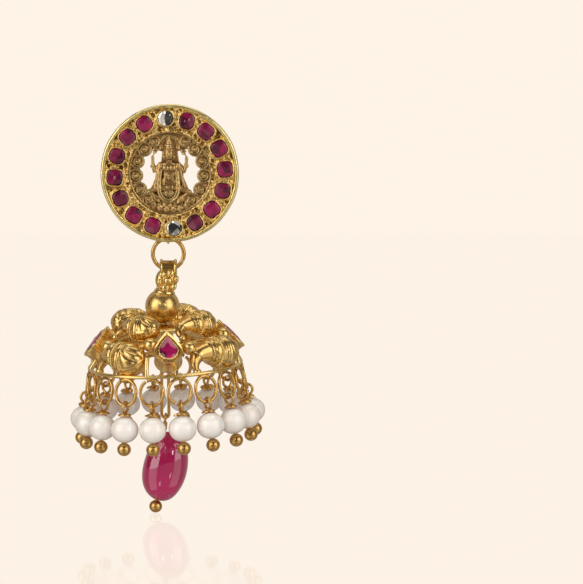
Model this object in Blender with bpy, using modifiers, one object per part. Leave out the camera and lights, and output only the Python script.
"""A jhumka earring: a round stud set with rubies round a pierced goddess medallion,
and a bell-shaped drop with mango castings, pear rubies, pearls and a ruby bead.

Units are metres, +Z is up, and the earring faces -Y. The origin is on the ear post,
where it leaves the back of the stud.
"""

import math

import bmesh
import bpy
from mathutils import Matrix, Vector

# Clearances
SOLDER = 0.00015           # how deep soldered pieces run into each other
SET_GAP = 0.00006          # between a stone and its setting
BEAD_GAP = 0.00012         # between threaded pieces
LINK_GAP = 0.0001          # between linked wires

# Stud
STUD_RADIUS = 0.01025
STUD_DEPTH = 0.0024        # back plane to the top of the raised rim
STUD_SIDES = 36
POST_RISE = 0.0015         # the post stands this far above the stud's centre
RIM_WIDTH = 0.0007
RIM_HEIGHT = 0.0004        # rim above the foil field
RIM_BEVEL = 0.00035
MEDALLION_RADIUS = 0.0061  # visible radius inside the frame's lip
LIP_WIDTH = 0.0003         # how far the lip laps over the medallion
LIP_THICKNESS = 0.0005

# Stones of the stud
STONE_COUNT = 16
STONE_INSET = 0.0021       # their circle inside the stud's edge
STONE_RADIUS = 0.0012
STONE_DEPTH = 0.0011
STONE_STANDS = 0.00025     # table above the foil field
STONE_TURN = math.radians(4.2)
STONE_SIDES = 8
STONE_SQUARENESS = 2.8     # of the rubies: 2 is round
TABLE_SHARE = 0.66
CROWN_SHARE = 0.25

# Ear post
POST_RADIUS = 0.00045
POST_LENGTH = 0.011
POST_PAD_RADIUS = 0.001
POST_PAD_THICKNESS = 0.0003
POST_PEG_LENGTH = 0.0005
POST_SIDES = 6

# Jump ring
RING_RADIUS = 0.0023       # of the wire's centre line
RING_WIRE = 0.0003
RING_SIDE_SHIFT = -0.0004  # it has slid this far along its eye
RING_RISE = 0.0003         # its top wire above the stud's lower edge
EYE_WIRE = 0.00022

# Bail
BAIL_WIDTH = 0.0025
BAIL_RADIUS = 0.00133      # of the raised edges round the ring's wire
BAIL_SADDLE = 0.0002       # the hollow between the edges
BAIL_LENGTH = 0.0058       # hinge to the middle of the round bead
BAIL_LEAN = math.radians(9.3)
BAIL_TRUNK_WIDTH = 0.0030
BAIL_TRUNK_DEPTH = 0.0022
BAIL_FOOT_RADIUS = 0.00155
FLOWER_DROP = 0.00175
FLOWER_TURN = math.radians(20)
FLOWER_BALL = 0.00065
FLOWER_PETALS = 6
FLOWER_CIRCLE = 0.00112
PETAL_RADIUS = 0.00052

# Stem and round bead
SPHERE_RADIUS = 0.00256
STEM_RADIUS = 0.00038
STEM_LENGTH = 0.0078       # middle of the round bead to the lower eye
STEM_EYE_RADIUS = 0.0006
STEM_EYE_WIRE = 0.0002

# Bell
BELL_ROLL = math.radians(-2.5)
HOOP_DROP = 0.00883        # hoop below the middle of the round bead
HOOP_RADIUS = 0.0113
HOOP_WIRE = 0.00028
HOOP_SIDES = 42
QUARTERS = 4
CAP_RADIUS = 0.0042
CAP_THICKNESS = 0.0007
MIDDLE_HOOP_RADIUS = 0.0076
MIDDLE_HOOP_HEIGHT = 0.0039
MIDDLE_HOOP_WIRE = 0.0005
RIB_WIRE = 0.00033
RIB_TURN = math.radians(11)
STRUT_TURN = math.radians(-11.5)
STRUT_HEIGHT = 0.0026
STRUT_INSET = 0.0009

# Mango castings
LOWER_CIRCLE = 0.0098
LOWER_HEIGHT = 0.0022
LOWER_GIRTH = 0.0024
LOWER_TILT = math.radians(25)
LOWER_TURN = math.radians(62)
UPPER_CIRCLE = 0.0062
UPPER_HEIGHT = 0.0061
UPPER_GIRTH = 0.00205
UPPER_TILT = math.radians(50)
UPPER_TURN = math.radians(69)

# Pear collets
COLLET_TURN = math.radians(6)
COLLET_CIRCLE = 0.0102     # the middle of the collet's face
COLLET_HEIGHT = 0.0043
COLLET_ELEVATION = math.radians(42)
COLLET_LENGTH = 0.0056
COLLET_WIDTH = 0.0042
COLLET_DEPTH = 0.003
COLLET_BEZEL = 0.0008
PEAR_DEPTH = 0.001
PEAR_STANDS = 0.0002

# Granules beside the collets
GRANULE_RADIUS = 0.00102
GRANULE_CIRCLE = 0.0086
GRANULES = (
    # degrees round from the quarter's front, height
    (-10.0, 0.0044),
    (26.7, 0.0036),
)

# Pearl fringe
FRINGE_COUNT = 18
FRINGE_START = math.radians(-7.7)
FRINGE_SPLAY = math.radians(9.3)
FRINGE_RING_WIDTH = 0.0039
FRINGE_RING_HEIGHT = 0.0043
FRINGE_RING_WIRE = 0.00025
PIN_LOOP_RADIUS = 0.0008
PIN_LOOP_WIRE = 0.0002
PIN_WRAP_RADIUS = 0.0012
PIN_WRAP_HEIGHT = 0.00042
PEARL_WIDTH = 0.0042
PEARL_HEIGHT = 0.0039
PEARL_NECK = 0.0003
BALL_RADIUS = 0.00098

# Pendant
PENDANT_LINK_LENGTH = 0.0091   # between the middles of its end wires
PENDANT_LINK_WIDTH = 0.0011
PENDANT_LINK_WIRE = 0.00023
PENDANT_LEAN = math.radians(6.5)
PENDANT_PIN_WIRE = 0.00025
PENDANT_WRAP_RADIUS = 0.00042
PENDANT_WRAP_LENGTH = 0.0013
RUBY_LENGTH = 0.0106
RUBY_WIDTH = 0.0069
RUBY_THICKNESS = 0.0058
RUBY_OFFSET = 0.0008           # the drill hole is this far off its middle
END_BALL_RADIUS = 0.00095

# Mesh fineness
ROUND_SIDES = 10
BEAD_SIDES = 12
WIRE_SIDES = 5
MERGE = 0.00001

# A mango casting along its spine, from the fat end to the tail, in shares of its girth:
# along the row, up its face, and the body's radius there.
MANGO_SPINE = (
    # along, up, radius: the last three rows are the little ball on its tail
    (1.02, -0.08, 0.10),
    (0.78, -0.06, 0.68),
    (0.15, 0.00, 1.00),
    (-0.58, 0.14, 0.95),
    (-0.74, 0.19, 0.84),
    (-1.45, 0.30, 0.66),
    (-2.08, 0.12, 0.48),
    (-2.44, -0.36, 0.33),
    (-2.44, -0.76, 0.20),
    (-2.38, -0.98, 0.27),
    (-2.30, -1.14, 0.08),
)

# The figure on the medallion, in shares of the medallion's radius.
LOBE_ANGLES = (47, 71, 95)
LOBE_CIRCLE = 0.84
LOBE_RADIUS = 0.18
LIMBS = (
    # from x, from z, to x, to z, radius
    (-0.30, 0.18, -0.38, -0.12, 0.085),
    (0.27, 0.18, 0.36, -0.14, 0.085),
    (-0.38, -0.12, -0.44, -0.40, 0.072),
    (0.36, -0.14, 0.42, -0.42, 0.072),
    (-0.30, 0.16, -0.50, 0.36, 0.065),
    (0.28, 0.16, 0.46, 0.36, 0.065),
    (-0.50, 0.36, -0.37, 0.52, 0.055),
    (0.46, 0.36, 0.36, 0.52, 0.055),
    (-0.12, -0.34, -0.47, -0.40, 0.14),
    (0.12, -0.36, 0.44, -0.44, 0.14),
)
MASSES = (
    # x, z, half width, half height, half depth
    (0.00, 0.44, 0.125, 0.145, 0.15),
    (0.00, 0.08, 0.24, 0.27, 0.13),
    (0.00, -0.34, 0.21, 0.34, 0.12),
    (-0.35, 0.56, 0.075, 0.085, 0.08),
    (0.34, 0.56, 0.075, 0.085, 0.08),
    (0.34, -0.72, 0.22, 0.11, 0.10),
    (-0.34, -0.74, 0.22, 0.11, 0.10),
)
CROWN = (0.60, 0.90, 0.13)          # bottom, tip, radius
HALO = (0.47, 0.235)                # height, radius
SIDE_OPENING = (
    # x, z
    (-0.41, 0.02),
    (-0.53, 0.30),
    (-0.50, 0.42),
    (-0.70, 0.50),
    (-0.80, 0.20),
    (-0.80, -0.20),
    (-0.60, -0.36),
    (-0.46, -0.22),
)
HEAD_OPENING = (
    (-0.26, 0.30),
    (-0.24, 0.60),
    (-0.42, 0.62),
    (-0.44, 0.38),
    (-0.34, 0.26),
)
MEDALLION_BACK = 0.0003
MEDALLION_PLATE = 0.0008
MEDALLION_SIDES = 24

GOLD = ("gold", (0.83, 0.58, 0.20), 0.28, 1.0)
ANTIQUE_GOLD = ("antique_gold", (0.62, 0.42, 0.17), 0.42, 1.0)
RUBY = ("ruby_red", (0.42, 0.01, 0.10), 0.08, 0.0)
CLEAR = ("clear_stone", (0.85, 0.82, 0.78), 0.05, 0.0)
PEARL = ("pearl", (0.93, 0.88, 0.84), 0.25, 0.0)
RUBY_BEAD = ("ruby_bead", (0.62, 0.02, 0.20), 0.10, 0.0)


def clear_scene():
    for obj in list(bpy.data.objects):
        bpy.data.objects.remove(obj, do_unlink=True)


def collection(name, inside=None):
    made = bpy.data.collections.new(name)
    (inside or bpy.context.scene.collection).children.link(made)
    return made


def material(finish):
    name, colour, roughness, metallic = finish
    found = bpy.data.materials.get(name)
    if found:
        return found
    made = bpy.data.materials.new(name)
    made.use_nodes = True
    shader = made.node_tree.nodes["Principled BSDF"]
    shader.inputs["Base Color"].default_value = (*colour, 1.0)
    shader.inputs["Roughness"].default_value = roughness
    shader.inputs["Metallic"].default_value = metallic
    return made


def mesh_from(bm, name):
    bmesh.ops.recalc_face_normals(bm, faces=bm.faces)
    mesh = bpy.data.meshes.new(name)
    bm.to_mesh(mesh)
    bm.free()
    mesh.shade_smooth()
    mesh.set_sharp_from_angle(angle=math.radians(40))
    return mesh


def place(name, mesh, target, parent=None, matrix=None):
    """An object in a collection, at a matrix given in its parent's frame."""
    obj = bpy.data.objects.new(name, mesh)
    target.objects.link(obj)
    obj.parent = parent
    obj.matrix_local = matrix or Matrix.Identity(4)
    return obj


def helper(name, mesh, target, parent=None, matrix=None):
    """A solid that is only joined to or cut from another."""
    obj = place(name, mesh, target, parent, matrix)
    obj.hide_render = True
    obj.display_type = "WIRE"
    return obj


def frame_empty(name, target, parent=None, matrix=None):
    return place(name, None, target, parent, matrix)


def boolean(obj, operands, operation):
    modifier = obj.modifiers.new(operation.lower(), "BOOLEAN")
    modifier.operand_type = "COLLECTION"
    modifier.collection = operands
    modifier.operation = operation
    modifier.solver = "EXACT"
    return modifier


def baked(obj, name):
    """The evaluated mesh of an object, which is then removed."""
    bpy.context.view_layer.update()
    evaluated = obj.evaluated_get(bpy.context.evaluated_depsgraph_get())
    mesh = bpy.data.meshes.new_from_object(evaluated)
    mesh.name = name
    bpy.data.objects.remove(obj, do_unlink=True)
    return mesh


def ball_mesh(name, radius, sides=ROUND_SIDES, bands=4, stretch=(1, 1, 1)):
    bm = bmesh.new()
    bmesh.ops.create_uvsphere(bm, u_segments=sides, v_segments=bands, radius=radius)
    bmesh.ops.scale(bm, vec=stretch, verts=bm.verts)
    return mesh_from(bm, name)


def rod_mesh(name, start, end, radius, sides=6, end_radius=None):
    """A straight round rod between two points."""
    bm = bmesh.new()
    axis = Vector(end) - Vector(start)
    bmesh.ops.create_cone(
        bm,
        cap_ends=True,
        segments=sides,
        radius1=radius,
        radius2=radius if end_radius is None else end_radius,
        depth=axis.length,
    )
    turn = axis.to_track_quat("Z", "Y").to_matrix().to_4x4()
    middle = (Vector(start) + Vector(end)) / 2
    bmesh.ops.transform(bm, matrix=Matrix.Translation(middle) @ turn, verts=bm.verts)
    return mesh_from(bm, name)


def hoop_mesh(name, radius, wire, sides, wire_sides=WIRE_SIDES, normal="Z", stretch=(1, 1)):
    """A wire ring. Its normal is Z, or Y for a ring that faces the front, or X."""
    bpy.ops.mesh.primitive_torus_add(
        major_radius=radius,
        minor_radius=wire,
        major_segments=sides,
        minor_segments=wire_sides,
    )
    obj = bpy.context.object
    mesh = obj.data
    mesh.name = name
    bpy.data.objects.remove(obj, do_unlink=True)
    if sides % 4:
        mesh.transform(Matrix.Rotation(math.pi / sides, 4, "Z"))
    mesh.transform(Matrix.Diagonal((stretch[0], stretch[1], 1, 1)))
    if normal == "Y":
        mesh.transform(Matrix.Rotation(math.pi / 2, 4, "X"))
    if normal == "X":
        mesh.transform(Matrix.Rotation(math.pi / 2, 4, "X"))
        mesh.transform(Matrix.Rotation(math.pi / 2, 4, "Z"))
    mesh.shade_smooth()
    return mesh


def turned_mesh(name, profile, sides, closed=False):
    """A profile of radius and height, turned about Z. It runs top to bottom outside."""
    mesh = bpy.data.meshes.new(name + "_profile")
    count = len(profile)
    edges = [(i, i + 1) for i in range(count - 1)]
    if closed:
        edges.append((count - 1, 0))
    mesh.from_pydata([(r, 0, z) for r, z in profile], edges, [])
    obj = bpy.data.objects.new(name, mesh)
    bpy.context.scene.collection.objects.link(obj)
    screw = obj.modifiers.new("turn", "SCREW")
    screw.steps = sides
    screw.render_steps = sides
    screw.use_merge_vertices = True
    screw.merge_threshold = MERGE
    made = baked(obj, name)
    bpy.data.meshes.remove(mesh)
    bm = bmesh.new()
    bm.from_mesh(made)
    bmesh.ops.remove_doubles(bm, verts=bm.verts, dist=MERGE)
    bpy.data.meshes.remove(made)
    return mesh_from(bm, name)


def tube_mesh(name, points, radii, sides, cyclic=False):
    """A round tube along points, with a radius at each."""
    curve = bpy.data.curves.new(name + "_path", "CURVE")
    curve.dimensions = "3D"
    curve.bevel_depth = 1.0
    curve.bevel_resolution = sides // 2 - 2
    curve.use_fill_caps = not cyclic
    spline = curve.splines.new("POLY")
    spline.points.add(len(points) - 1)
    spline.use_cyclic_u = cyclic
    for point, place_at, radius in zip(spline.points, points, radii):
        point.co = (*place_at, 1)
        point.radius = radius
    obj = bpy.data.objects.new(name, curve)
    bpy.context.scene.collection.objects.link(obj)
    made = baked(obj, name)
    bpy.data.curves.remove(curve)
    bm = bmesh.new()
    bm.from_mesh(made)
    bmesh.ops.remove_doubles(bm, verts=bm.verts, dist=MERGE)
    bpy.data.meshes.remove(made)
    return mesh_from(bm, name)


def slab_mesh(name, outline, bottom, top, shrink=1.0):
    """An outline of x and z, run from y=-bottom to y=-top, its front scaled by shrink."""
    bm = bmesh.new()
    back = [bm.verts.new((x, -bottom, z)) for x, z in outline]
    front = [bm.verts.new((x * shrink, -top, z * shrink)) for x, z in outline]
    bm.faces.new(back)
    bm.faces.new(front)
    count = len(outline)
    for i in range(count):
        j = (i + 1) % count
        bm.faces.new((back[i], back[j], front[j], front[i]))
    return mesh_from(bm, name)


def cut_stone_mesh(name, outline, depth, stands):
    """A stone with a flat table, a ring of crown facets and a pointed back.

    The outline is its girdle. The table is at y=-depth-stands, the point at y=0.
    """
    bm = bmesh.new()
    crown = depth * (1 - CROWN_SHARE)
    girdle = [bm.verts.new((x, -crown, z)) for x, z in outline]
    table = []
    for x, z in outline:
        table.append(bm.verts.new((x * TABLE_SHARE, -depth - stands, z * TABLE_SHARE)))
    point = bm.verts.new((0, 0, 0))
    count = len(outline)
    bm.faces.new(table)
    for i in range(count):
        j = (i + 1) % count
        bm.faces.new((girdle[i], girdle[j], table[j], table[i]))
        bm.faces.new((girdle[j], girdle[i], point))
    return mesh_from(bm, name)


def cushion_outline(radius, clear):
    """The girdle of a stone in the stud: round for a clear one, a rounded square for a ruby."""
    squareness = 2.0 if clear else STONE_SQUARENESS
    outline = []
    for i in range(STONE_SIDES):
        angle = math.tau * (i + 0.5) / STONE_SIDES
        cosine = abs(math.cos(angle))
        sine = abs(math.sin(angle))
        reach = radius / (cosine ** squareness + sine ** squareness) ** (1 / squareness)
        outline.append((reach * math.cos(angle), reach * math.sin(angle)))
    return outline


def pear_outline(length, width, inset=0.0):
    """A pear shape in x and z with its tip up: a round end and a straight-sided point."""
    radius = width / 2
    centre = radius - length / 2
    tip = length / 2
    reach = tip - centre
    touch = math.acos(radius / reach)
    round_end = math.pi / 2 + touch
    steps = 8
    outline = []
    for i in range(steps):
        angle = round_end + (math.tau - 2 * touch) * i / (steps - 1)
        outline.append((
            (radius - inset) * math.cos(angle),
            centre + (radius - inset) * math.sin(angle),
        ))
    outline.append((0.0, tip - inset * reach / radius))
    return outline


def ring_point(circle, turn, height):
    """A point at an angle from the front, positive to the viewer's right."""
    return Vector((circle * math.sin(turn), -circle * math.cos(turn), height))


def stone_places():
    """Number, matrix in the stud's frame, and whether the stone is a clear one."""
    circle = STUD_RADIUS - STONE_INSET
    for i in range(STONE_COUNT):
        angle = STONE_TURN + math.tau * i / STONE_COUNT
        turn = Matrix.Rotation(-angle, 4, "Y")
        out = Matrix.Translation((0, 0, circle))
        clear = i % (STONE_COUNT // 2) == 0
        yield i, turn @ out, clear


def stud_levels():
    """Depths in front of the back plane: of the foil field and of the stones' seats."""
    field = STUD_DEPTH - RIM_HEIGHT
    return field, field - STONE_DEPTH


def eye_radius():
    """The centre line of the eye behind the stud, round the jump ring's wire."""
    return RING_WIRE + LINK_GAP + EYE_WIRE


def ring_frame():
    """The jump ring's hinge: its top wire, in the middle of the eye behind the stud."""
    behind = eye_radius() + EYE_WIRE - SOLDER
    return Matrix.Translation((RING_SIDE_SHIFT, behind, RING_RISE - STUD_RADIUS))


def make_stud_ring(parts, cutters, stud):
    field, seat = stud_levels()
    bore = MEDALLION_RADIUS
    rebate = bore + LIP_WIDTH + SET_GAP
    lip_back = field - LIP_THICKNESS
    rim_in = STUD_RADIUS - RIM_WIDTH
    back_edge = STUD_RADIUS - RIM_BEVEL
    profile = (
        (bore, field),
        (rim_in, field),
        (rim_in + RIM_BEVEL / 2, STUD_DEPTH),
        (STUD_RADIUS - RIM_BEVEL, STUD_DEPTH),
        (STUD_RADIUS, STUD_DEPTH - RIM_BEVEL),
        (back_edge, 0),
        (rebate, 0),
        (rebate, lip_back),
        (bore, lip_back),
    )
    mesh = turned_mesh("stud_ring", profile, STUD_SIDES, closed=True)
    mesh.transform(Matrix.Rotation(math.pi / 2, 4, "X"))
    ring = place("stud_ring", mesh, parts, stud)
    joined = collection("stud_joined", cutters)
    cut = collection("stud_cut", cutters)
    pockets = {}
    for clear in (False, True):
        pocket = cushion_outline(STONE_RADIUS + SET_GAP, clear)
        pockets[clear] = slab_mesh("pocket", pocket, seat - SET_GAP, STUD_DEPTH)
    for i, where, clear in stone_places():
        helper(f"pocket_{i:02d}", pockets[clear], cut, stud, where)
    eye = hoop_mesh("back_eye", eye_radius(), EYE_WIRE, ROUND_SIDES, normal="X")
    helper("back_eye", eye, joined, stud, ring_frame())
    boolean(ring, joined, "UNION")
    boolean(ring, cut, "DIFFERENCE")
    ring.data.materials.append(material(GOLD))
    return ring


def make_stud_stones(parts, stud):
    seat = stud_levels()[1]
    meshes = {}
    for clear, name, finish in ((False, "cushion_ruby", RUBY), (True, "round_clear", CLEAR)):
        outline = cushion_outline(STONE_RADIUS, clear)
        meshes[clear] = cut_stone_mesh(name, outline, STONE_DEPTH, STONE_STANDS)
        meshes[clear].materials.append(material(finish))
    clear_names = ["clear_stone_bottom", "clear_stone_top"]
    rubies = 0
    for i, where, clear in stone_places():
        if clear:
            name = clear_names.pop()
        else:
            rubies += 1
            name = f"ruby_{rubies:02d}"
        place(name, meshes[clear], parts, stud, where @ Matrix.Translation((0, -seat, 0)))


def make_medallion(parts, cutters, stud):
    """The pierced casting: a plate with its openings, side lobes and the seated figure."""
    size = MEDALLION_RADIUS
    outer = size + LIP_WIDTH
    back = MEDALLION_BACK
    plate = back + MEDALLION_PLATE
    lip_back = stud_levels()[0] - LIP_THICKNESS - SET_GAP
    profile = (
        (0, plate),
        (size * 0.9, plate),
        (size * 0.94, lip_back),
        (outer, lip_back),
        (outer, back),
        (0, back),
    )
    mesh = turned_mesh("goddess_medallion", profile, MEDALLION_SIDES)
    mesh.transform(Matrix.Rotation(math.pi / 2, 4, "X"))
    medallion = place("goddess_medallion", mesh, parts, stud)
    cut = collection("medallion_cut", cutters)
    joined = collection("medallion_joined", cutters)
    socket = collection("medallion_socket", cutters)
    for side in (1, -1):
        for label, table in (("side", SIDE_OPENING), ("head", HEAD_OPENING)):
            outline = [(side * x * size, z * size) for x, z in table]
            helper(f"{label}_{side}", slab_mesh(label, outline, 0, STUD_DEPTH), cut, stud)
        for angle in LOBE_ANGLES:
            turn = math.radians(angle) * side
            x = size * LOBE_CIRCLE * math.sin(turn)
            z = size * LOBE_CIRCLE * math.cos(turn)
            foot = (x, -back - SOLDER, z)
            crest = (x, -lip_back + SOLDER, z)
            lobe = rod_mesh("lobe", foot, crest, size * LOBE_RADIUS, 8)
            helper(f"lobe_{side}_{angle}", lobe, joined, stud)
    front = plate
    for i, (x0, z0, x1, z1, radius) in enumerate(LIMBS):
        start = (x0 * size, -front - SOLDER / 2, z0 * size)
        end = (x1 * size, -front - SOLDER / 2, z1 * size)
        stretch = (Vector(end) - Vector(start)).normalized() * radius * size * 0.5
        rod = rod_mesh("limb", Vector(start) - stretch, Vector(end) + stretch, radius * size, 5)
        helper(f"limb_{i:02d}", rod, joined, stud)
    for i, (x, z, wide, high, deep) in enumerate(MASSES):
        sides, bands = (8, 4) if high > 0.12 else (6, 3)
        mass = ball_mesh("mass", size, sides, bands, (wide, deep, high))
        at = Matrix.Translation((x * size, -front + SOLDER * 0.3, z * size))
        helper(f"mass_{i:02d}", mass, joined, stud, at)
    low, high, radius = CROWN
    cone = rod_mesh(
        "crown", (0, -front, low * size - SOLDER), (0, -front, high * size),
        radius * size, 8, radius * size * 0.25,
    )
    helper("crown", cone, joined, stud)
    halo_z, halo_radius = HALO
    halo = rod_mesh(
        "halo", (0, -back - SOLDER, halo_z * size), (0, -front - SOLDER, halo_z * size),
        halo_radius * size, ROUND_SIDES,
    )
    helper("halo", halo, joined, stud)
    hole = rod_mesh(
        "socket", (0, 0, POST_RISE), (0, -back - POST_PEG_LENGTH - SET_GAP, POST_RISE),
        POST_RADIUS + SET_GAP, POST_SIDES,
    )
    helper("post_socket", hole, socket, stud)
    boolean(medallion, cut, "DIFFERENCE")
    boolean(medallion, joined, "UNION")
    boolean(medallion, socket, "DIFFERENCE")
    medallion.data.materials.append(material(ANTIQUE_GOLD))
    return medallion


def make_ear_post(parts, stud):
    pad_front = -MEDALLION_BACK + SET_GAP
    tip = POST_RADIUS * 0.6
    neck_at = POST_LENGTH - 0.0022
    profile = (
        (0, POST_LENGTH),
        (tip, POST_LENGTH),
        (POST_RADIUS, POST_LENGTH - tip),
        (POST_RADIUS, neck_at + tip),
        (POST_RADIUS * 0.75, neck_at),
        (POST_RADIUS, neck_at - tip),
        (POST_RADIUS, pad_front + POST_PAD_THICKNESS),
        (POST_PAD_RADIUS, pad_front + POST_PAD_THICKNESS),
        (POST_PAD_RADIUS, pad_front),
        (POST_RADIUS, pad_front),
        (POST_RADIUS, -MEDALLION_BACK - POST_PEG_LENGTH),
        (0, -MEDALLION_BACK - POST_PEG_LENGTH),
    )
    mesh = turned_mesh("ear_post", profile, POST_SIDES)
    mesh.transform(Matrix.Rotation(-math.pi / 2, 4, "X"))
    post = place("ear_post", mesh, parts, stud, Matrix.Translation((0, 0, POST_RISE)))
    post.data.materials.append(material(GOLD))
    return post


def make_jump_ring(parts, hinge):
    mesh = hoop_mesh("jump_ring", RING_RADIUS, RING_WIRE, 14, 6, normal="Y")
    mesh.materials.append(material(GOLD))
    return place("jump_ring", mesh, parts, hinge, Matrix.Translation((0, 0, -RING_RADIUS)))


def bail_bore():
    """The hole through the bail: the ring's wire curves up inside it."""
    half = BAIL_WIDTH / 2
    rise = RING_RADIUS - math.sqrt(RING_RADIUS ** 2 - half ** 2)
    return rise, RING_WIRE + rise / 2 + LINK_GAP


def trunk_mesh(bore):
    """The bail's trunk, oval above and round at its foot, hollowed to sit on the bead."""
    seat = SPHERE_RADIUS + BEAD_GAP
    spread = math.asin(BAIL_FOOT_RADIUS / seat)
    foot = BAIL_LENGTH - seat * math.cos(spread)
    half = BAIL_TRUNK_WIDTH / 2
    profile = [
        (0, -bore - SOLDER),
        (half, -bore - SOLDER),
        (half * 1.06, -FLOWER_DROP),
        (half * 0.84, -foot + BAIL_FOOT_RADIUS * 0.45),
    ]
    for share in (1.0, 0.5, 0.0):
        angle = spread * share
        profile.append((seat * math.sin(angle), -BAIL_LENGTH + seat * math.cos(angle)))
    trunk = turned_mesh("trunk", profile, ROUND_SIDES)
    for vertex in trunk.vertices:
        if vertex.co.z > -foot + BAIL_FOOT_RADIUS * 0.2:
            vertex.co.y *= BAIL_TRUNK_DEPTH / BAIL_TRUNK_WIDTH
    return trunk


def make_bail(parts, cutters, hinge, bell):
    """The saddle on the ring, its trunk and flower, and the stem down through the bell."""
    bore = bail_bore()[1]
    half = BAIL_WIDTH / 2
    edge = half * 0.72
    dip = BAIL_RADIUS - BAIL_SADDLE
    profile = (
        (bore, half),
        (BAIL_RADIUS, half),
        (BAIL_RADIUS, edge),
        (dip, edge * 0.75),
        (dip, -edge * 0.75),
        (BAIL_RADIUS, -edge),
        (BAIL_RADIUS, -half),
        (bore, -half),
    )
    mesh = turned_mesh("bail", profile, ROUND_SIDES, closed=True)
    mesh.transform(Matrix.Rotation(math.pi / 2, 4, "Y"))
    bail = place("bail", mesh, parts, hinge)
    joined = collection("bail_joined", cutters)
    lean = Matrix.Rotation(BAIL_LEAN, 4, "Y")
    helper("trunk", trunk_mesh(bore), joined, hinge, lean)
    flower = lean @ Matrix.Rotation(FLOWER_TURN, 4, "Z")
    face = BAIL_TRUNK_DEPTH / 2
    ball = ball_mesh("flower_ball", FLOWER_BALL, 8, 4)
    helper(
        "flower_ball", ball, joined, hinge,
        flower @ Matrix.Translation((0, -face - FLOWER_BALL * 0.4, -FLOWER_DROP)),
    )
    petal = ball_mesh("petal", PETAL_RADIUS, 6, 3, (1, 1.1, 1))
    for i in range(FLOWER_PETALS):
        angle = math.tau * i / FLOWER_PETALS
        x = FLOWER_CIRCLE * math.sin(angle)
        z = FLOWER_CIRCLE * math.cos(angle)
        at = Matrix.Translation((x, -face * math.cos(x / face * 0.8), z - FLOWER_DROP))
        helper(f"petal_{i}", petal, joined, hinge, flower @ at)
    stem = rod_mesh(
        "stem", (0, 0, SPHERE_RADIUS + BAIL_FOOT_RADIUS * 0.5),
        (0, 0, -STEM_LENGTH + STEM_EYE_RADIUS), STEM_RADIUS, 8,
    )
    helper("stem", stem, joined, bell)
    eye = hoop_mesh("stem_eye", STEM_EYE_RADIUS, STEM_EYE_WIRE, ROUND_SIDES, normal="X")
    helper("stem_eye", eye, joined, bell, Matrix.Translation((0, 0, -STEM_LENGTH)))
    boolean(bail, joined, "UNION")
    bail.data.materials.append(material(GOLD))
    return bail


def make_sphere_bead(parts, cutters, bell):
    bead = place("sphere_bead", ball_mesh("sphere_bead", SPHERE_RADIUS, BEAD_SIDES, 8), parts, bell)
    drill = rod_mesh(
        "drill", (0, 0, 2 * SPHERE_RADIUS), (0, 0, -2 * SPHERE_RADIUS),
        STEM_RADIUS + BEAD_GAP, 8,
    )
    cut = bead.modifiers.new("drill", "BOOLEAN")
    cut.operation = "DIFFERENCE"
    cut.solver = "EXACT"
    cut.object = helper("bead_drill", drill, cutters, bell)
    bead.data.materials.append(material(GOLD))
    return bead


def mango_mesh(name, circle, height, girth, tilt):
    """One mango casting, wrapped round the bell's axis with its fat end at the front."""
    def at(along, up):
        radial = circle - up * girth * math.sin(tilt)
        return ring_point(radial, along * girth / circle, height + up * girth * math.cos(tilt))

    points = [at(along, up) for along, up, radius in MANGO_SPINE]
    radii = [radius * girth for along, up, radius in MANGO_SPINE]
    return tube_mesh(name, points, radii, 8)


def collet_frame(turn):
    """The collet's own frame: its face looks along -Y, its tip points along +Z."""
    spot = ring_point(COLLET_CIRCLE, 0, COLLET_HEIGHT)
    around = Matrix.Rotation(turn + COLLET_TURN, 4, "Z")
    return around @ Matrix.Translation(spot) @ Matrix.Rotation(-COLLET_ELEVATION, 4, "X")


def fringe_frame(i):
    """Where a ring of the fringe hangs: on the hoop, with -Z down along the fringe."""
    turn = FRINGE_START + math.tau * i / FRINGE_COUNT
    around = Matrix.Rotation(turn, 4, "Z")
    on_hoop = Matrix.Translation((0, -HOOP_RADIUS, -HOOP_DROP))
    return around @ on_hoop @ Matrix.Rotation(-FRINGE_SPLAY, 4, "X")


def fringe_levels():
    """Distances down the fringe: ring centre, loop centre, wrap, pearl and ball."""
    ring = HOOP_WIRE + FRINGE_RING_HEIGHT / 2 - SOLDER
    ring_inside = ring + FRINGE_RING_HEIGHT / 2 - 2 * FRINGE_RING_WIRE
    loop = ring_inside - LINK_GAP + PIN_LOOP_RADIUS - PIN_LOOP_WIRE
    wrap = loop + PIN_LOOP_RADIUS + PIN_LOOP_WIRE * 0.5 + PIN_WRAP_HEIGHT / 2
    pearl = wrap + PIN_WRAP_HEIGHT / 2 + PEARL_HEIGHT / 2
    ball = pearl + PEARL_HEIGHT / 2 + BALL_RADIUS * 0.93
    return ring, loop, wrap, pearl, ball


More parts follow.
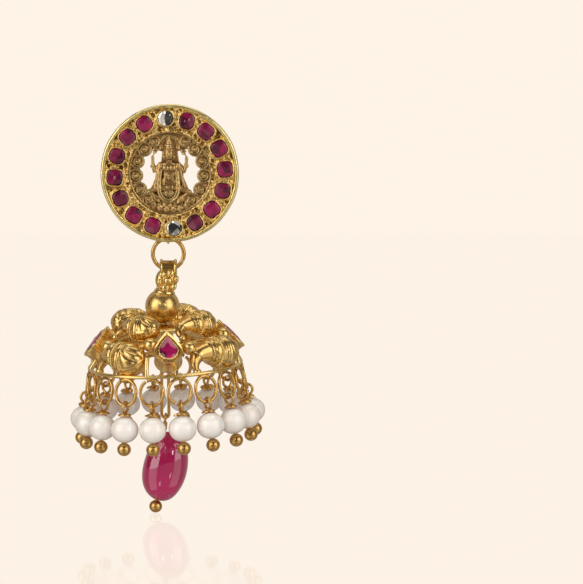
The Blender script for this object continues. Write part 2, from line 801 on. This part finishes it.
def make_dome(parts, cutters, bell):
    """Castings, collets, granules, posts, hoop and fringe rings, soldered as one."""
    hoop_level = Matrix.Translation((0, 0, -HOOP_DROP))
    mesh = hoop_mesh("dome", HOOP_RADIUS, HOOP_WIRE, HOOP_SIDES, WIRE_SIDES)
    mesh.transform(hoop_level)
    dome = place("dome", mesh, parts, bell)
    joined = collection("dome_joined", cutters)
    cut = collection("dome_cut", cutters)
    cap_top = HOOP_DROP - SPHERE_RADIUS - BEAD_GAP
    stem_room = STEM_RADIUS + BEAD_GAP
    cap = turned_mesh(
        "cap",
        (
            (stem_room, cap_top),
            (CAP_RADIUS * 0.6, cap_top),
            (CAP_RADIUS, cap_top - CAP_THICKNESS * 0.5),
            (CAP_RADIUS, cap_top - CAP_THICKNESS * 1.4),
            (stem_room, cap_top - CAP_THICKNESS),
        ),
        ROUND_SIDES,
        closed=True,
    )
    helper("cap", cap, joined, bell, hoop_level)
    middle = hoop_mesh("middle_hoop", MIDDLE_HOOP_RADIUS, MIDDLE_HOOP_WIRE, 16, 4)
    at_middle = hoop_level @ Matrix.Translation((0, 0, MIDDLE_HOOP_HEIGHT))
    helper("middle_hoop", middle, joined, bell, at_middle)
    tiers = (
        ("lower", LOWER_CIRCLE, LOWER_HEIGHT, LOWER_GIRTH, LOWER_TILT, LOWER_TURN),
        ("upper", UPPER_CIRCLE, UPPER_HEIGHT, UPPER_GIRTH, UPPER_TILT, UPPER_TURN),
    )
    collar = pear_outline(COLLET_LENGTH, COLLET_WIDTH)
    collet = slab_mesh("collet", collar, -COLLET_DEPTH, 0, 1.0)
    stone_length = COLLET_LENGTH - 2 * COLLET_BEZEL
    stone_width = COLLET_WIDTH - 2 * COLLET_BEZEL
    hollow = pear_outline(stone_length + 2 * SET_GAP, stone_width + 2 * SET_GAP)
    pocket = slab_mesh("pear_pocket", hollow, -PEAR_DEPTH - SET_GAP, PEAR_DEPTH)
    granule = ball_mesh("granule", GRANULE_RADIUS, 8, 4)
    rib_path = (
        Vector((0, -CAP_RADIUS * 0.8, cap_top - CAP_THICKNESS)),
        Vector((0, -MIDDLE_HOOP_RADIUS, MIDDLE_HOOP_HEIGHT)),
        Vector((0, -HOOP_RADIUS, 0)),
    )
    rib = tube_mesh("rib", rib_path, [RIB_WIRE] * len(rib_path), 4)
    strut = rod_mesh(
        "strut",
        ring_point(HOOP_RADIUS, STRUT_TURN, 0),
        ring_point(HOOP_RADIUS - STRUT_INSET, STRUT_TURN, STRUT_HEIGHT),
        RIB_WIRE, WIRE_SIDES,
    )
    mangoes = {}
    for tier, circle, height, girth, tilt, turn in tiers:
        mangoes[tier] = mango_mesh(f"mango_{tier}", circle, height, girth, tilt)
    for i in range(QUARTERS):
        turn = math.tau * i / QUARTERS
        around = hoop_level @ Matrix.Rotation(turn, 4, "Z")
        for tier, circle, height, girth, tilt, start in tiers:
            there = around @ Matrix.Rotation(start, 4, "Z")
            helper(f"mango_{tier}_{i}", mangoes[tier], joined, bell, there)
        here = hoop_level @ collet_frame(turn)
        helper(f"collet_{i}", collet, joined, bell, here)
        helper(f"collet_pocket_{i}", pocket, cut, bell, here)
        helper(f"rib_{i}", rib, joined, bell, around @ Matrix.Rotation(RIB_TURN, 4, "Z"))
        helper(f"strut_{i}", strut, joined, bell, around)
        for number, (degrees, height) in enumerate(GRANULES):
            spot = ring_point(GRANULE_CIRCLE, math.radians(degrees), height)
            at = around @ Matrix.Translation(spot)
            helper(f"granule_{i}_{number}", granule, joined, bell, at)
    ring_level = fringe_levels()[0]
    across = FRINGE_RING_WIDTH / 2 - FRINGE_RING_WIRE
    down = FRINGE_RING_HEIGHT / 2 - FRINGE_RING_WIRE
    ring = hoop_mesh(
        "fringe_ring", down, FRINGE_RING_WIRE, ROUND_SIDES, normal="Y",
        stretch=(across / down, 1),
    )
    for i in range(FRINGE_COUNT):
        at = fringe_frame(i) @ Matrix.Translation((0, 0, -ring_level))
        helper(f"fringe_ring_{i:02d}", ring, joined, bell, at)
    boolean(dome, joined, "UNION")
    boolean(dome, cut, "DIFFERENCE")
    dome.data.materials.append(material(GOLD))
    return dome


def make_pear_stones(parts, bell):
    outline = pear_outline(COLLET_LENGTH - 2 * COLLET_BEZEL, COLLET_WIDTH - 2 * COLLET_BEZEL)
    mesh = cut_stone_mesh("pear_ruby", outline, PEAR_DEPTH, PEAR_STANDS)
    mesh.materials.append(material(RUBY))
    hoop_level = Matrix.Translation((0, 0, -HOOP_DROP))
    for i, side in enumerate(("front", "right", "back", "left")):
        here = hoop_level @ collet_frame(math.tau * i / QUARTERS)
        seat = Matrix.Translation((0, PEAR_DEPTH, 0))
        place(f"pear_stone_{side}", mesh, parts, bell, here @ seat)


def pearl_drop_mesh(cutters):
    """A pearl on its headpin: the end ball, the pearl, the wrapped wire and its loop."""
    ring, loop, wrap, pearl, ball = fringe_levels()
    half = PEARL_HEIGHT / 2
    profile = [(0, -wrap + PIN_WRAP_HEIGHT / 2)]
    profile.append((PIN_WRAP_RADIUS, -wrap))
    for latitude in (40, 0, -40):
        angle = math.radians(latitude)
        profile.append((PEARL_WIDTH / 2 * math.cos(angle), -pearl + half * math.sin(angle) * 1.1))
    profile.append((PEARL_NECK, -pearl - half))
    for latitude in (25, -25):
        angle = math.radians(latitude)
        profile.append((
            BALL_RADIUS * 1.06 * math.cos(angle),
            -ball + BALL_RADIUS * math.sin(angle),
        ))
    profile.append((0, -ball - BALL_RADIUS))
    mesh = turned_mesh("pearl_drop", profile, ROUND_SIDES)
    body = bpy.data.objects.new("pearl_drop_body", mesh)
    bpy.context.scene.collection.objects.link(body)
    wire = hoop_mesh("pin_loop", PIN_LOOP_RADIUS, PIN_LOOP_WIRE, ROUND_SIDES, normal="X")
    loop_object = helper("pin_loop", wire, cutters, None, Matrix.Translation((0, 0, -loop)))
    union = body.modifiers.new("union", "BOOLEAN")
    union.operation = "UNION"
    union.solver = "EXACT"
    union.object = loop_object
    made = baked(body, "pearl_drop")
    bpy.data.objects.remove(loop_object, do_unlink=True)
    made.materials.append(material(PEARL))
    return made


def make_fringe(parts, cutters, bell):
    mesh = pearl_drop_mesh(cutters)
    for i in range(FRINGE_COUNT):
        place(f"pearl_drop_{i + 1:02d}", mesh, parts, bell, fringe_frame(i))


def make_pendant(parts, cutters, hinge):
    """The long link, and under it the ruby bead on its pin."""
    half = PENDANT_LINK_WIDTH / 2
    path = []
    bends = 6
    for end, middle in ((1, -half), (-1, half - PENDANT_LINK_LENGTH)):
        for i in range(bends):
            angle = math.pi * i / (bends - 1) + (0 if end > 0 else math.pi)
            path.append(Vector((half * math.cos(angle), 0, middle + half * math.sin(angle))))
    link_mesh = tube_mesh("pendant_link", path, [PENDANT_LINK_WIRE] * len(path), 6, cyclic=True)
    link = place("pendant_link", link_mesh, parts, hinge)
    link.data.materials.append(material(GOLD))

    loop_radius = STEM_EYE_RADIUS
    loop_room = loop_radius - STEM_EYE_WIRE - PENDANT_LINK_WIRE - LINK_GAP
    lean = Matrix.Translation((0, 0, -PENDANT_LINK_LENGTH - loop_room))
    lean = lean @ Matrix.Rotation(PENDANT_LEAN, 4, "Y")
    wrap_top = loop_radius
    wrap_end = wrap_top + PENDANT_WRAP_LENGTH
    ruby_top = wrap_end + BEAD_GAP
    ruby_end = ruby_top + RUBY_LENGTH
    ball = ruby_end + END_BALL_RADIUS
    bore = PENDANT_PIN_WIRE + BEAD_GAP
    profile = [(0, -wrap_top)]
    profile.append((PENDANT_WRAP_RADIUS, -wrap_top))
    profile.append((PENDANT_WRAP_RADIUS, -wrap_end))
    profile.append((PENDANT_PIN_WIRE, -wrap_end))
    profile.append((PENDANT_PIN_WIRE, -ball + END_BALL_RADIUS * 0.9))
    for latitude in (25, -25):
        angle = math.radians(latitude)
        profile.append((
            END_BALL_RADIUS * 1.06 * math.cos(angle),
            -ball + END_BALL_RADIUS * math.sin(angle),
        ))
    profile.append((0, -ball - END_BALL_RADIUS))
    pin = place("pendant_pin", turned_mesh("pendant_pin", profile, ROUND_SIDES), parts, hinge, lean)
    loop = hoop_mesh("pendant_loop", loop_radius, STEM_EYE_WIRE, ROUND_SIDES, normal="X")
    union = pin.modifiers.new("loop", "BOOLEAN")
    union.operation = "UNION"
    union.solver = "EXACT"
    union.object = helper("pendant_loop", loop, cutters, hinge, lean)
    pin.data.materials.append(material(GOLD))

    middle = Vector((RUBY_OFFSET, 0, -(ruby_top + ruby_end) / 2))
    stretch = (RUBY_WIDTH / RUBY_LENGTH, RUBY_THICKNESS / RUBY_LENGTH, 1)
    bead = ball_mesh("ruby_drop", RUBY_LENGTH / 2, 12, 8, stretch)
    bead.transform(Matrix.Translation(middle))
    ruby = place("ruby_drop", bead, parts, hinge, lean)
    drill = rod_mesh("ruby_drill", (0, 0, -wrap_top), (0, 0, -ball), bore, 8)
    cut = ruby.modifiers.new("drill", "BOOLEAN")
    cut.operation = "DIFFERENCE"
    cut.solver = "EXACT"
    cut.object = helper("ruby_drill", drill, cutters, hinge, lean)
    ruby.data.materials.append(material(RUBY_BEAD))


def main():
    clear_scene()
    parts = collection("jhumka_earring")
    cutters = collection("cutters")
    stud = frame_empty("stud_frame", parts, None, Matrix.Translation((0, 0, -POST_RISE)))
    make_stud_ring(parts, cutters, stud)
    make_stud_stones(parts, stud)
    make_medallion(parts, cutters, stud)
    make_ear_post(parts, stud)

    ring_hinge = frame_empty("ring_hinge", parts, stud, ring_frame())
    make_jump_ring(parts, ring_hinge)

    rise = bail_bore()[0]
    drop_at = Matrix.Translation((0, 0, -2 * RING_RADIUS + rise / 2))
    drop_hinge = frame_empty("drop_hinge", parts, ring_hinge, drop_at)
    down_bail = Matrix.Rotation(BAIL_LEAN, 4, "Y") @ Vector((0, 0, -BAIL_LENGTH))
    bell_at = Matrix.Translation(down_bail) @ Matrix.Rotation(BELL_ROLL, 4, "Y")
    bell = frame_empty("bell_frame", parts, drop_hinge, bell_at)
    make_bail(parts, cutters, drop_hinge, bell)
    make_sphere_bead(parts, cutters, bell)
    make_dome(parts, cutters, bell)
    make_pear_stones(parts, bell)
    make_fringe(parts, cutters, bell)

    stem_foot = bell_at @ Vector((0, 0, -STEM_LENGTH))
    pendant_at = Matrix.Translation(stem_foot)
    pendant_hinge = frame_empty("pendant_hinge", parts, drop_hinge, pendant_at)
    make_pendant(parts, cutters, pendant_hinge)


main()
